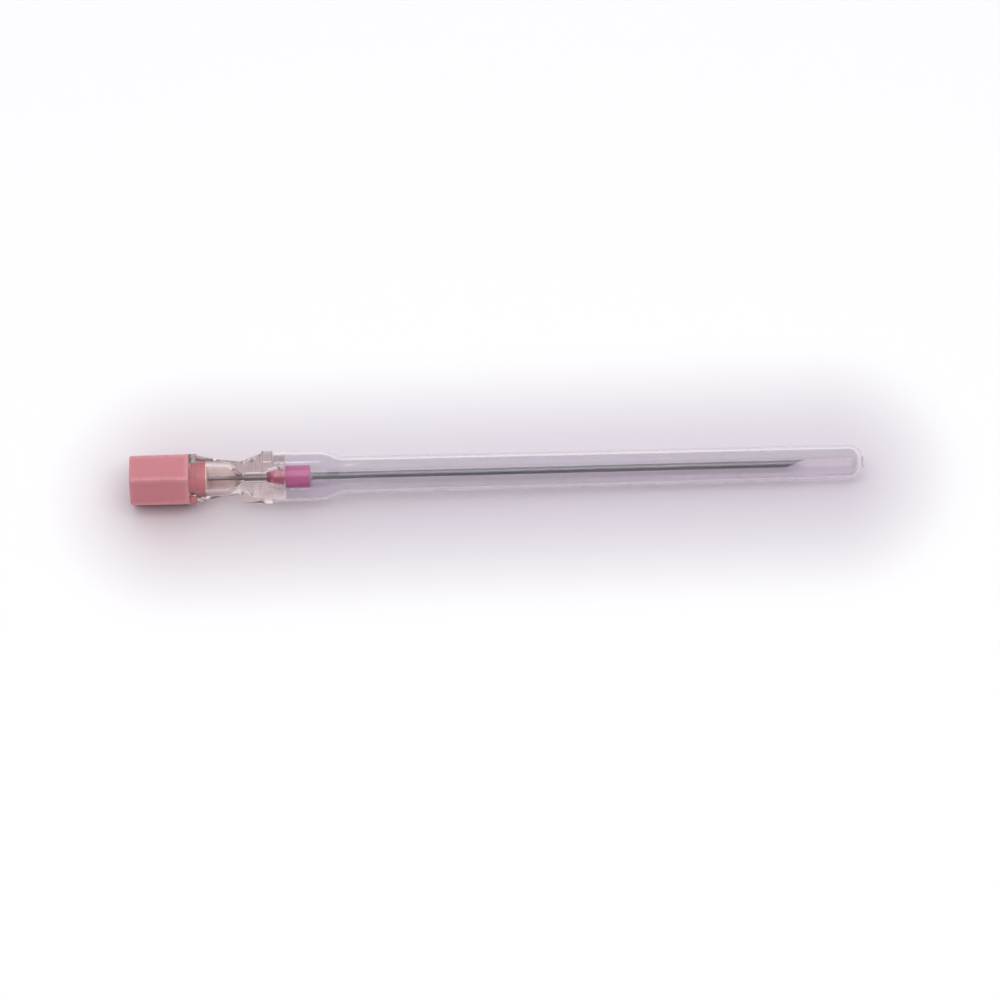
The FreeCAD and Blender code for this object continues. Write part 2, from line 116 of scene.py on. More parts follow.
class HubSizes(bpy.types.PropertyGroup):
    """Sizes of the hub."""

    rear_flats: length("Rear flats", "Width across the flats of the rear flange", 9.1)
    rear_length: length("Rear thickness", "Thickness of the rear flange", 1.3)
    front_radius: length("Front radius", "Radius of the front flange", 4.85)
    front_flat: length("Front flat", "Distance from the axis to the front flange's flats", 4.75)
    front_at: length("Front flange", "Distance from the rear face to the front flange", 13.1)
    front_length: length("Front thickness", "Thickness of the front flange", 2.0)
    corner: length("Corner radius", "Radius on the corners of the rear flange", 0.3)
    edge: length("Edge radius", "Radius on the flanges' edges", 0.12)
    nose_radius: length("Nose radius", "Radius of the nose that the cover grips", 4.05)
    nose_length: length("Nose length", "Length of the nose", 2.3)
    lug_width: length("Lug width", "Width of the lug that marks the bevel side", 3.0)
    lug_length: length("Lug length", "Length of the lug", 3.6)
    lug_top: length("Lug height", "Distance from the axis to the lug's top", 4.6)
    lug_edge: length("Lug edge", "Radius on the lug's edges", 0.4)
    socket_radius: length("Socket radius", "Radius of the syringe socket at its mouth", 2.15)
    socket_depth: length("Socket depth", "Depth of the syringe socket", 7.5)
    notch_play: length("Notch play", "Gap round the key in its notch", 0.1)


class NeedleSizes(bpy.types.PropertyGroup):
    """Sizes of the cannula and of the stylet wire in it."""

    radius: length("Cannula radius", "Outside radius of the cannula", 0.635)
    lumen: length("Lumen radius", "Radius of the cannula's bore", 0.42)
    wire: length("Wire radius", "Radius of the stylet wire", 0.38)
    back: length("Cannula back", "Distance from the hub's rear face to the cannula's back", 10.35)
    wire_back: length("Wire back", "How far the wire reaches back into the cap", 3.05)
    tip: length("Tip", "Distance from the hub's rear face to the tip", 111.8)
    bevel: length("Bevel length", "Length of the ground bevel", 3.6)
    facet: length("Facet length", "Length over which a side facet crosses the cannula", 2.6)
    setback: length("Setback", "How far the wire's end lies behind the bevel", 0.05)


class CollarSizes(bpy.types.PropertyGroup):
    """Sizes of the coloured collar and of the adhesive in it."""

    back: length("Collar back", "Distance from the hub's rear face to the collar's thin end", 14.0)
    seat: length("Collar seat", "Distance from the hub's rear face to the collar's shoulder", 17.4)
    front: length("Collar front", "Distance from the hub's rear face to the collar's front", 21.8)
    radius: length("Collar radius", "Outside radius of the collar", 2.0)
    tail: length("Tail radius", "Radius at the thin end of the conical tail", 0.95)
    cone: length("Cone radius", "Radius at the thick end of the conical tail", 1.7)
    bore: length("Bore radius", "Radius of the bore that holds the cannula", 0.645)
    well: length("Well radius", "Radius of the adhesive well", 1.15)
    well_depth: length("Well depth", "Depth of the adhesive well", 0.8)
    rise: length("Bead height", "Height of the adhesive above the collar", 0.45)


class CoverSizes(bpy.types.PropertyGroup):
    """Sizes of the clear cover."""

    mouth: length("Mouth", "Distance from the hub's rear face to the cover's mouth", 15.4)
    length: length("Cover length", "Length of the cover", 106.9)
    bore: length("Mouth bore", "Inside radius at the mouth", 4.09)
    wall: length("Socket wall", "Wall of the socket", 0.5)
    socket: length("Socket length", "Length of the wide socket", 9.1)
    lip: length("Lip", "How far the mouth's lip stands out", 0.1)
    lip_length: length("Lip length", "Length of the mouth's lip", 1.3)
    shoulder: length("Shoulder", "Length of the cone between socket and tube", 3.0)
    tube: length("Tube radius", "Outside radius of the tube at the shoulder", 3.45)
    tube_wall: length("Tube wall", "Wall of the tube", 0.7)
    end: length("End radius", "Outside radius of the tube at its closed end", 3.2)
    end_wall: length("End wall", "Thickness of the closed end", 0.9)
    end_round: length("End rounding", "Radius on the closed end", 2.6)
    blend: length("Shoulder blend", "Radius that blends the shoulder", 3.0)


class Finishes(bpy.types.PropertyGroup):
    """Colours of the needle's pieces."""

    cap: colour("Cap", "Salmon-pink moulded plastic of the stylet's cap", 0.620, 0.222, 0.255)
    collar: colour("Collar", "Magenta moulded plastic of the collar", 0.520, 0.120, 0.280)
    tail: colour("Collar's tail", "Magenta plastic, thin over the steel", 0.480, 0.080, 0.175)
    clear: colour("Hub", "Clear moulded plastic of the hub", 0.885, 0.790, 0.758)
    cover: colour("Cover", "Clear plastic of the cover", 0.850, 0.835, 0.860)
    steel: colour("Steel", "Drawn and ground stainless steel", 0.285, 0.276, 0.294)
    adhesive: colour("Adhesive", "Cured clear adhesive", 0.90, 0.86, 0.80)
    table: colour("Table", "Pale table top", 0.700, 0.648, 0.708)


class Studio(bpy.types.PropertyGroup):
    """The camera and the table."""

    roll: angle("Roll", "How far the needle is rolled about its axis as it lies", 120)
    elevation: angle("Elevation", "Height of the camera above the horizon", 60)
    slope: angle("Slope", "How far the needle rises to the right in the picture", 1.48)
    distance: length("Distance", "From the camera to the needle", 900)
    width: length("Picture width", "Width of the picture at the needle", 181.5)
    middle: length("Picture middle", "Place on the needle at the picture's middle column", 56.28)
    drop: length("Drop", "How far the picture's middle lies below the needle", 5.23)
    table_tilt: FloatProperty(
        name="Table tilt", description="Rise of the table along the needle, for the way it rests",
        default=0.01475,
    )


# Surfaces

def rounded_path(corners, steps=ARC_STEPS):
    """A path through corners (x, r, radius), with an arc of that radius at each inner corner.

    An arc of radius R in a corner whose sides turn by an angle T starts R tan(T/2) before the
    corner, ends as far behind it, and has its centre on the line that halves the corner. A
    point SUPPORT away from each end of the arc keeps the flat beside it flat in shading.
    """
    spots = np.array([corner[:2] for corner in corners], float)
    path = [spots[:1]]
    for before, spot, after, corner in zip(spots, spots[1:], spots[2:], corners[1:]):
        radius = corner[2]
        if radius <= 0:
            path.append(spot[None])
            continue
        into = (spot - before) / np.linalg.norm(spot - before)
        out = (after - spot) / np.linalg.norm(after - spot)
        turn = np.arccos(np.clip(into @ out, -1, 1))
        reach = radius * np.tan(turn / 2)
        side = out - into
        centre = spot + side / np.linalg.norm(side) * radius / np.cos(turn / 2)
        start = spot - into * reach
        spoke = start - centre
        swing = np.sign(into[0] * out[1] - into[1] * out[0]) * turn
        angles = np.linspace(0, swing, max(2, int(np.ceil(steps * turn / (np.pi / 2)))) + 1)
        cos, sin = np.cos(angles), np.sin(angles)
        swung = [cos * spoke[0] - sin * spoke[1], sin * spoke[0] + cos * spoke[1]]
        arc = centre + np.stack(swung, 1)
        path += [(start - into * SUPPORT)[None], arc, (spot + out * (reach + SUPPORT))[None]]
    path.append(spots[-1:])
    return np.concatenate(path)


def divided(path, longest):
    """The path with each run longer than longest divided evenly."""
    runs = np.linalg.norm(np.diff(path, axis=0), axis=1)
    parts = np.maximum(1, np.ceil(runs / longest)).astype(int)
    fine = [np.linspace(a, b, n, endpoint=False) for a, b, n in zip(path, path[1:], parts)]
    return np.concatenate(fine + [path[-1:]])


def turned_rings(path, count=AROUND):
    """Rings of a body of revolution about X: (x, r sin a, r cos a) for each (x, r) of the path."""
    angles = np.linspace(-np.pi, np.pi, count, endpoint=False)
    x = np.broadcast_to(path[:, :1], (len(path), count))
    return np.stack([x, path[:, 1:] * np.sin(angles), path[:, 1:] * np.cos(angles)], 2)


def six_sided(angles, apothem, corner):
    """Distance from the axis to a hexagon with rounded corners, in the direction of each angle.

    Measured from the nearest flat's normal by an angle d, the flat is at apothem / cos d. Past
    the flat's end the ray meets the corner's circle, whose centre lies on the smaller hexagon
    that is one corner radius inside this one.
    """
    d = np.abs((angles + HALF_FACE) % (2 * HALF_FACE) - HALF_FACE)
    inner = apothem - corner
    middle = np.array([inner, inner * np.tan(HALF_FACE)])
    along = middle[0] * np.cos(d) + middle[1] * np.sin(d)
    arc = along + np.sqrt(np.maximum(corner**2 - middle @ middle + along**2, 0))
    return np.where(apothem * np.tan(d) <= middle[1], apothem / np.cos(d), arc)


def ring_at(x, angles, radius):
    """One ring about the axis at x, with a radius for each angle, which is measured from +Z."""
    radius = np.broadcast_to(radius, angles.shape)
    return np.stack([np.full(angles.shape, x), radius * np.sin(angles), radius * np.cos(angles)], 1)


def edge_steps(radius):
    """Rings of a rounded edge, from the face to the side, as pairs (along, inset).

    The edge is a quarter circle: r (1 - cos t) along from the face, it is r (1 - sin t) inside
    the side. The two change places where the side comes first.
    """
    t = np.linspace(0, np.pi / 2, ARC_STEPS + 1)
    return list(zip(radius * (1 - np.cos(t)), radius * (1 - np.sin(t))))


def slab(start, end, radius):
    """Pairs (x, inset) for the rings of a slab's first edge, and of its last, both rounded."""
    near = [(start, radius + SUPPORT)]
    near += [(start + along, inset) for along, inset in edge_steps(radius)]
    far = [(end - inset, along) for along, inset in edge_steps(radius)]
    far += [(end, radius + SUPPORT)]
    return (near + [(start + radius + SUPPORT, 0)], [(end - radius - SUPPORT, 0)] + far)


def quads(rows, columns, close):
    """Corner numbers of the quads of a grid whose columns close up, and whose rows may too."""
    row = np.arange(rows if close else rows - 1)[:, None] * columns
    below = (row + columns) % (rows * columns)
    here = np.arange(columns)
    there = (here + 1) % columns
    return np.stack([row + here, below + here, below + there, row + there], 2).reshape(-1, 4)


def skin(rings, close=False):
    """Points and faces of the surface through rings, which closes up on itself or by two poles."""
    rings = np.asarray(rings, float)
    rows, columns = rings.shape[:2]
    points = rings.reshape(-1, 3)
    faces = quads(rows, columns, close).tolist()
    if not close:
        first, last = len(points), len(points) + 1
        points = np.concatenate([points, rings[0].mean(0)[None], rings[-1].mean(0)[None]])
        here = np.arange(columns)
        there = (here + 1) % columns
        end = (rows - 1) * columns
        faces += np.stack([np.full(columns, first), here, there], 1).tolist()
        faces += np.stack([np.full(columns, last), end + there, end + here], 1).tolist()
    return points, faces


def rolled(points, way=1):
    """Points turned about X by the needle's roll, or back again where way is -1.

    y' = y cos - z sin, z' = y sin + z cos.
    """
    turn = way * bpy.context.scene.needle_studio.roll
    x, y, z = points.T
    cos, sin = np.cos(turn), np.sin(turn)
    return np.stack([x, y * cos - z * sin, y * sin + z * cos], 1)


def outward(points, faces):
    """True if the faces' normals point out, from the sign of the volume that they close in."""
    fans = np.array([(f[0], f[i], f[i + 1]) for f in faces for i in (1, len(f) - 2)])
    a, b, c = points[fans[:, 0]], points[fans[:, 1]], points[fans[:, 2]]
    return np.einsum("ij,ij->", a, np.cross(b, c)) > 0


def clean_mesh(name, points, faces):
    """A mesh with doubled points merged, so that no face of it is without area."""
    if not outward(points, faces):
        faces = [face[::-1] for face in faces]
    mesh = bpy.data.meshes.new(name)
    mesh.from_pydata(rolled(points).tolist(), [], faces)
    work = bmesh.new()
    work.from_mesh(mesh)
    bmesh.ops.remove_doubles(work, verts=work.verts, dist=MERGED)
    bmesh.ops.dissolve_degenerate(work, edges=work.edges, dist=MERGED)
    work.to_mesh(mesh)
    work.free()
    mesh.validate()
    return mesh


def upright(mesh):
    """The x, y and z of a mesh's points with the needle's roll undone."""
    points = np.empty(len(mesh.vertices) * 3)
    mesh.vertices.foreach_get("co", points)
    return rolled(points.reshape(-1, 3), -1).T


def mark(mesh, name, values):
    """Writes a number for each point of a mesh, which its material reads by that name."""
    attribute = mesh.attributes.new(name, "FLOAT", "POINT")
    attribute.data.foreach_set("value", values.astype(np.float32))


def smooth(mesh):
    """Shades a mesh's faces smoothly."""
    mesh.polygons.foreach_set("use_smooth", np.ones(len(mesh.polygons), bool))


def piece(name, mesh, material, body, node):
    """Puts a finished mesh in the scene in place of a node, riding on that node's body."""
    smooth(mesh)
    mesh.set_sharp_from_angle(angle=SHARP_ANGLE)
    mesh.update()
    mesh.materials.append(material)
    item = bpy.data.objects.new(name, mesh)
    bpy.context.scene.collection.objects.link(item)
    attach(item, body)
    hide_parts(node)


def joined(mesh, other):
    """The union of two closed meshes as one mesh."""
    base = bpy.data.objects.new("union_base", mesh)
    tool = bpy.data.objects.new("union_tool", other)
    for item in (base, tool):
        bpy.context.scene.collection.objects.link(item)
    union = base.modifiers.new("Union", "BOOLEAN")
    union.operation = "UNION"
    union.solver = "EXACT"
    union.object = tool
    graph = bpy.context.evaluated_depsgraph_get()
    both = bpy.data.meshes.new_from_object(base.evaluated_get(graph))
    both.name = mesh.name
    for item in (base, tool):
        bpy.data.objects.remove(item)
    return both


# Shader node groups

class Nodes:
    """Short calls for adding and joining the nodes of one tree."""

    def __init__(self, tree):
        self.tree = tree

    def add(self, kind, sockets=None, **settings):
        """A node of that kind, with its settings, its plain values and its links."""
        node = self.tree.nodes.new(kind)
        for name, value in settings.items():
            setattr(node, name, value)
        return self.fill(node, sockets or {})

    def fill(self, node, sockets):
        """The node, with its inputs set to values or joined to other nodes' outputs."""
        for name, value in sockets.items():
            if isinstance(value, bpy.types.NodeSocket):
                self.tree.links.new(value, node.inputs[name])
            else:
                node.inputs[name].default_value = value
        return node

    def math(self, operation, first, second=0.0, clamp=False):
        """The output of a math node."""
        sockets = {0: first, 1: second}
        node = self.add("ShaderNodeMath", sockets, operation=operation, use_clamp=clamp)
        return node.outputs[0]

    def noise(self, vector, scale, detail=3.0, roughness=0.55):
        """The value output of a noise texture."""
        sockets = {"Vector": vector, "Scale": scale, "Detail": detail, "Roughness": roughness}
        return self.add("ShaderNodeTexNoise", sockets).outputs[0]

    def stretched(self, vector, scale):
        """A vector scaled along each axis."""
        return self.add("ShaderNodeMapping", {"Vector": vector, "Scale": scale}).outputs[0]

    def span(self, value, low, high, out_low=0.0, out_high=1.0):
        """The value's range from low to high mapped smoothly to another range."""
        sockets = {"Value": value, "From Min": low, "From Max": high,
                   "To Min": out_low, "To Max": out_high}
        node = self.add("ShaderNodeMapRange", sockets, interpolation_type="SMOOTHSTEP")
        return node.outputs[0]

    def blend(self, share, first, second):
        """Two colours mixed by a share: a mix node's inputs 6 and 7, and its output 2."""
        sockets = {0: share, 6: first, 7: second}
        return self.add("ShaderNodeMix", sockets, data_type="RGBA", blend_type="MIX").outputs[2]

    def attribute(self, name):
        """The number that mark() wrote for each point."""
        return self.add("ShaderNodeAttribute", attribute_name=name).outputs["Fac"]

    def parts(self, vector):
        """The x, y and z of a vector."""
        return self.add("ShaderNodeSeparateXYZ", {0: vector}).outputs

    def bump(self, height, depth, strength):
        """A normal that is moved by a height, which spans depth in metres."""
        sockets = {"Height": height, "Distance": depth, "Strength": strength}
        return self.add("ShaderNodeBump", sockets).outputs[0]

    def mixed(self, share, first, second):
        """Two shaders mixed by a share."""
        return self.add("ShaderNodeMixShader", {0: share, 1: first, 2: second}).outputs[0]

    def principled(self, sockets):
        """The output of a Principled shader."""
        return self.add("ShaderNodeBsdfPrincipled", sockets).outputs[0]

    def seen(self):
        """1 for the rays that show a thing: to the camera, by a mirror or through glass."""
        path = self.add("ShaderNodeLightPath").outputs
        clear = self.math("ADD", path["Is Glossy Ray"], path["Is Transmission Ray"])
        return self.math("ADD", path["Is Camera Ray"], clear, clamp=True)


def new_group(name, inputs, outputs):
    """A shader node group with named inputs and outputs, and its Nodes, input and output."""
    tree = bpy.data.node_groups.new(name, "ShaderNodeTree")
    for label, kind, default in inputs:
        socket = tree.interface.new_socket(name=label, in_out="INPUT", socket_type=kind)
        if default is not None:
            socket.default_value = default
    for label in outputs:
        tree.interface.new_socket(name=label, in_out="OUTPUT", socket_type="NodeSocketFloat")
    nodes = Nodes(tree)
    return tree, nodes, nodes.add("NodeGroupInput"), nodes.add("NodeGroupOutput")


def moulded_group():
    """Moulded plastic: Height of a fine orange peel over slow flow lines along the needle, and
    Tone, a soft cloud that is lighter where the melt was thicker."""
    tree, nodes, given, result = new_group(
        "Moulded plastic",
        [("Vector", "NodeSocketVector", None), ("Peel", "NodeSocketFloat", 2600.0),
         ("Flow", "NodeSocketFloat", 260.0)],
        ["Height", "Tone"],
    )
    vector = given.outputs["Vector"]
    peel = nodes.noise(vector, given.outputs["Peel"], 2.0)
    flow = nodes.noise(nodes.stretched(vector, (0.22, 1.0, 1.0)), given.outputs["Flow"])
    shares = nodes.math("MULTIPLY", peel, 0.35), nodes.math("MULTIPLY", flow, 0.65)
    nodes.fill(result, {"Height": nodes.math("ADD", *shares), "Tone": nodes.span(flow, 0.3, 0.7)})
    return tree


def drawn_group():
    """Lines left by drawing along the needle: Height across them, and Streak, a mask of the few
    that are deeper than the rest."""
    tree, nodes, given, result = new_group(
        "Drawn lines",
        [("Vector", "NodeSocketVector", None), ("Lines", "NodeSocketFloat", 5200.0),
         ("Stretch", "NodeSocketFloat", 0.015)],
        ["Height", "Streak"],
    )
    x, y, z = nodes.parts(given.outputs["Vector"])
    along = nodes.math("MULTIPLY", x, given.outputs["Stretch"])
    flat = nodes.add("ShaderNodeCombineXYZ", {0: along, 1: y, 2: z}).outputs[0]
    fine = nodes.noise(flat, given.outputs["Lines"], 3.0, 0.6)
    coarse = nodes.noise(flat, nodes.math("MULTIPLY", given.outputs["Lines"], 0.31), 2.0)
    streak = nodes.span(coarse, 0.56, 0.72)
    height = nodes.math("SUBTRACT", fine, nodes.math("MULTIPLY", streak, 0.5))
    nodes.fill(result, {"Height": height, "Streak": streak})
    return tree


def moulded(nodes, place, **values):
    """The outputs of a moulded plastic node with its own values."""
    group = bpy.data.node_groups.get("Moulded plastic") or moulded_group()
    return nodes.add("ShaderNodeGroup", {"Vector": place, **values}, node_tree=group).outputs


def drawn(nodes, place, **values):
    """The outputs of a drawn lines node with its own values."""
    group = bpy.data.node_groups.get("Drawn lines") or drawn_group()
    return nodes.add("ShaderNodeGroup", {"Vector": place, **values}, node_tree=group).outputs


def new_material(name):
    """An empty material, its Nodes, and a node that gives the piece's own coordinates."""
    material = bpy.data.materials.new(name)
    material.use_nodes = True
    material.node_tree.nodes.clear()
    nodes = Nodes(material.node_tree)
    return material, nodes, nodes.add("ShaderNodeTexCoord").outputs["Object"]


def show(nodes, shader):
    """Joins a shader to the material's output."""
    nodes.add("ShaderNodeOutputMaterial", {"Surface": shader})


def paint(shade, factor=1.0):
    """A colour property as a node's four numbers, made lighter or darker by a factor."""
    return (*(min(part * factor, 1.0) for part in shade), 1.0)


# Finishes

def cap_plastic(finishes):
    """Salmon-pink plastic that lets a little light in, with painted highlights: lighter in patches
    on the grip's corners and rims, and near white on the rim at the plug's end.
    """
    material, nodes, place = new_material("cap_plastic")
    grain = moulded(nodes, place)
    # Painted highlight: the grip's corners and rims are made lighter, in patches, towards a pale
    # pink.
    patches = nodes.span(nodes.noise(place, 900.0), 0.35, 0.65, 0.45, 1.0)
    highlight_share = nodes.math("MULTIPLY", nodes.attribute("edge"), patches)
    base = nodes.blend(grain["Tone"], paint(finishes.cap, 0.955), paint(finishes.cap, 1.035))
    painted_edges = nodes.blend(nodes.math("MULTIPLY", highlight_share, 0.55), base, (0.86, 0.47, 0.48, 1.0))
    show(nodes, nodes.principled({
        # Painted glint: a near-white line on the rim at the plug's end.
        "Base Color": nodes.blend(nodes.attribute("plug_rim_glint"), painted_edges, (1.0, 0.93, 0.91, 1.0)),
        "Roughness": nodes.span(grain["Tone"], 0.0, 1.0, 0.34, 0.44), "IOR": 1.49,
        "Subsurface Weight": 0.18, "Subsurface Scale": 0.0012,
        "Subsurface Radius": (1.0, 0.35, 0.30),
        "Normal": nodes.bump(grain["Height"], 0.000035, 0.6),
    }))
    return material


def collar_plastic(finishes, collar):
    """Magenta plastic that lets a little light in, deeper on the tail, where the steel shows
    through at its thin end."""
    material, nodes, place = new_material("collar_plastic")
    grain = moulded(nodes, place, Flow=700.0)
    x = nodes.parts(place)[0]
    thin = nodes.span(x, collar.back, collar.back + 1.5 * MM)
    tail = nodes.blend(thin, paint(finishes.tail, 0.35), paint(finishes.tail))
    body = nodes.blend(grain["Tone"], paint(finishes.collar, 0.92), paint(finishes.collar, 1.07))
    show(nodes, nodes.principled({
        "Base Color": nodes.blend(nodes.span(x, collar.seat - 0.3 * MM, collar.seat), tail, body),
        "Roughness": nodes.span(grain["Tone"], 0.0, 1.0, 0.34, 0.42), "IOR": 1.49,
        "Specular IOR Level": 0.22,
        "Subsurface Weight": 0.6, "Subsurface Scale": 0.0012,
        "Subsurface Radius": (1.0, 0.4, 0.7),
        "Normal": nodes.bump(grain["Height"], 0.00003, 0.5),
    }))
    return material


def clear_plastic(name, shade, ior, film, rough, surface, reflections):
    """Clear plastic that bends what is seen through it.

    Rays from lamps pass straight through it, so that the pieces inside and the table are lit,
    and each surface lets the film's share of them through. So does light that is caught between
    its walls, which is light that made more reflections than the number given.
    """
    material, nodes, place = new_material(name)
    tone, normal = surface(nodes, place)
    shader = nodes.principled({
        "Base Color": nodes.blend(tone, paint(shade), paint(shade, 0.94)), "IOR": ior,
        "Roughness": nodes.span(tone, 0.0, 1.0, *rough),
        "Transmission Weight": 1.0,
        "Normal": normal,
    })
    tint = (film, film * 0.985, film * 0.995, 1.0)
    passing = nodes.add("ShaderNodeBsdfTransparent", {"Color": tint}).outputs[0]
    path = nodes.add("ShaderNodeLightPath").outputs
    caught = nodes.math("MAXIMUM", nodes.math("GREATER_THAN", path["Glossy Depth"], reflections),
                        nodes.math("GREATER_THAN", path["Ray Depth"], CAUGHT_TURNS))
    passes = nodes.math("MAXIMUM", path["Is Shadow Ray"], caught)
    show(nodes, nodes.mixed(passes, shader, passing))
    return material


def hub_surface(nodes, place):
    """Tone and normal of the hub's moulded surface."""
    grain = moulded(nodes, place, Peel=1400.0, Flow=420.0)
    return grain["Tone"], nodes.bump(grain["Height"], 0.00002, 0.35)


def cover_surface(nodes, place):
    """Tone and normal of the cover's drawn surface."""
    lines = drawn(nodes, place, Lines=900.0, Stretch=0.03)
    return lines["Streak"], nodes.bump(lines["Height"], 0.000008, 0.2)


def steel(name, shade, grind):
    """Stainless steel with lines along the needle, and with grinding marks across the bevel,
    which is brighter by the share grind."""
    material, nodes, place = new_material(name)
    lines = drawn(nodes, place)
    across = nodes.noise(nodes.stretched(place, (1.0, 0.05, 0.05)), 9000.0, 2.0)
    ground = nodes.attribute("ground")
    along = nodes.math("MULTIPLY", lines["Height"], nodes.math("SUBTRACT", 1.0, ground))
    height = nodes.math("ADD", along, nodes.math("MULTIPLY", across, ground))
    base = nodes.blend(lines["Streak"], paint(shade), paint(shade, 0.8))
    bright = nodes.blend(nodes.math("MULTIPLY", ground, grind), base, (0.74, 0.74, 0.76, 1.0))
    show(nodes, nodes.principled({
        "Base Color": bright, "Metallic": 1.0,
        "Roughness": nodes.span(lines["Streak"], 0.0, 1.0, 0.50, 0.62),
        "Normal": nodes.bump(height, 0.000004, 0.6),
    }))
    return material


def cured_adhesive(finishes):
    """Cured adhesive: clear, faintly yellow, with a few tiny bubbles in its tone."""
    material, nodes, place = new_material("cured_adhesive")
    bubbles = nodes.span(nodes.noise(place, 5200.0, 2.0), 0.62, 0.7)
    show(nodes, nodes.principled({
        "Base Color": nodes.blend(bubbles, paint(finishes.adhesive), (1.0, 0.98, 0.95, 1.0)),
        "Roughness": nodes.span(bubbles, 0.0, 1.0, 0.12, 0.3), "IOR": 1.5,
        "Transmission Weight": 0.7,
        "Normal": nodes.bump(bubbles, 0.00002, 0.4),
    }))
    return material


# Stylet

def around_flats(corner_share=0.06, steps=5, flat_steps=8):
    """Angles round a hexagon, dense at its corners and mirrored about each flat."""
    arc = np.linspace(0, corner_share, steps)
    flat = np.linspace(corner_share, 1, flat_steps + 1)[1:]
    half = HALF_FACE * (1 - np.concatenate([arc, flat]))
    face = np.concatenate([half, -half[-2:0:-1]])
    return np.concatenate([face + k * 2 * HALF_FACE for k in range(3, -3, -1)])


def cap_rings(cap, needle):
    """Rings of the cap, from the bottom of the wire's seat to the middle of its rear face.

    The seat, the plug and the rear dimple are turned, so their rings are circles. The grip's
    rings are rounded hexagons that get smaller in step with their distance from its front.
    """
    angles = around_flats()
    front, rear = -cap.gap, -cap.gap - cap.grip
    seat_end, seat = -needle.wire_back - FIT, needle.wire + FIT
    # The wire's seat, the plug's end and side, and the grip's front: x, r and the edge's radius.
    # The plug lies 0.004 mm deep in the socket's wall. With air between them it would look
    # narrower through the clear hub than it is.
    plug = rounded_path([
        (seat_end, 0, 0), (seat_end, seat, 0), (cap.plug, seat, 0.08 * MM),
        (cap.plug, cap.plug_radius - SYRINGE_SLOPE * cap.plug, cap.plug_edge),
        (front, cap.plug_radius, 0.1 * MM), (front, cap.flats / 2 - 0.3 * MM, 0),
    ])
    # The dimple in the rear face and the low boss in its middle, as a mould's gate leaves them.
    floor, boss = rear + 0.22 * MM, rear + 0.1 * MM
    dimple = rounded_path([
        (rear, 3.2 * MM, 0), (rear, 1.9 * MM, 0.12 * MM), (floor, 1.75 * MM, 0.1 * MM),
        (floor, 0.55 * MM, 0.05 * MM), (boss, 0.5 * MM, 0.05 * MM), (boss, 0, 0),
    ])

    def circles(path):
        return [ring_at(x, angles, max(radius, ON_AXIS)) for x, radius in path]

    def hexagon(x, inset):
        apothem = cap.flats / 2 - cap.taper * (front - x) / cap.grip - inset
        return ring_at(x, angles, six_sided(angles, apothem, cap.edge - min(inset, 0.4 * MM)))

    mouth = 0.12 * MM
    side = np.linspace(front - mouth - SUPPORT, rear + cap.edge + SUPPORT, 12)
    grip = [hexagon(front, mouth + SUPPORT)]
    grip += [hexagon(front - along, inset) for along, inset in edge_steps(mouth)]
    grip += [hexagon(x, 0) for x in side]
    grip += [hexagon(rear + inset, along) for along, inset in edge_steps(cap.edge)]
    return np.array(circles(plug) + grip + circles(dimple))


def block_rings(x_back, x_front, half_width, low, high, edge):
    """Rings of a bar with a rounded rectangular section along X, its front edges rounded.

    A rounded rectangle is the smaller rectangle inside it moved out by the corner's radius, so
    each point is a corner of that rectangle plus the radius in the point's own direction. A
    tenth of the radius stays at the front, so that the corner's points don't fall together.
    """
    quarter = np.linspace(0, np.pi / 2, ARC_STEPS + 1)
    turn = np.concatenate([quarter + k * np.pi / 2 for k in range(4)])
    sign_y = np.repeat([1, -1, -1, 1], len(quarter))
    sign_z = np.repeat([1, 1, -1, -1], len(quarter))
    middle = (low + high) / 2

    def section(x, inset):
        corner = edge - inset * 0.9
        y = sign_y * (half_width - edge) + corner * np.cos(turn)
        z = middle + sign_z * ((high - low) / 2 - edge) + corner * np.sin(turn)
        return np.stack([np.full(y.shape, x), y, z], 1)

    rings = [section(x_back, 0), section(x_front - edge - SUPPORT, 0)]
    rings += [section(x_front - inset, along) for along, inset in edge_steps(edge)]
    return np.array(rings)


def mark_edges(mesh, cap):
    """Masks of painted highlights: 1 on the grip's long corners and rims, and on the rim at the
    plug's end, and fading out beside them."""
    x, y, z = upright(mesh)
    around, far = np.arctan2(y, z), np.hypot(y, z)

    def beside(distance, width):
        return np.clip(1 - distance / width, 0, 1)

    # The marks start at 93 percent of the way out to the grip's outline and are full at 98.
    outline = six_sided(around, cap.flats / 2, FIT)
    on_grip = np.clip((far - outline * 0.93) / (outline * 0.05), 0, 1)
    from_corner = np.abs(around % (2 * HALF_FACE) - HALF_FACE) * far
    from_end = np.minimum(np.abs(x + cap.gap), np.abs(x + cap.gap + cap.grip))
    # Mask of the painted highlight on the grip's corners and rims.
    painted_edges = np.maximum(beside(from_corner, 0.7 * MM), beside(from_end, 0.5 * MM))
    mark(mesh, "edge", painted_edges * on_grip)
    # Mask of the painted glint on the rim at the plug's end.
    from_rim = np.abs(x - cap.plug + 0.08 * MM)
    mark(mesh, "plug_rim_glint", beside(from_rim, 0.2 * MM) * (far > 1.2 * MM))


class BuildStyletCap(bpy.types.Operator):
    """Build the pink cap with its plug and key"""

    bl_idname = "spinal_needle.stylet_cap"
    bl_label = "Stylet cap"

    def execute(self, context):
        cap, needle = context.scene.needle_cap, context.scene.needle_shaft
        grip = clean_mesh("stylet_cap_moulding", *skin(cap_rings(cap, needle)))
        sunk = 0.4 * MM  # how far the key starts inside the grip
        key = clean_mesh("stylet_cap_key", *skin(block_rings(
            x_back=-cap.gap - sunk, x_front=cap.key_length, half_width=cap.key_width / 2,
            low=cap.key_foot, high=cap.flats / 2 - cap.edge, edge=0.12 * MM)))
        both = joined(grip, key)
        mark_edges(both, cap)
        piece("stylet_cap_moulding", both, cap_plastic(context.scene.needle_finishes),
              "stylet", "stylet_cap")
        return {"FINISHED"}


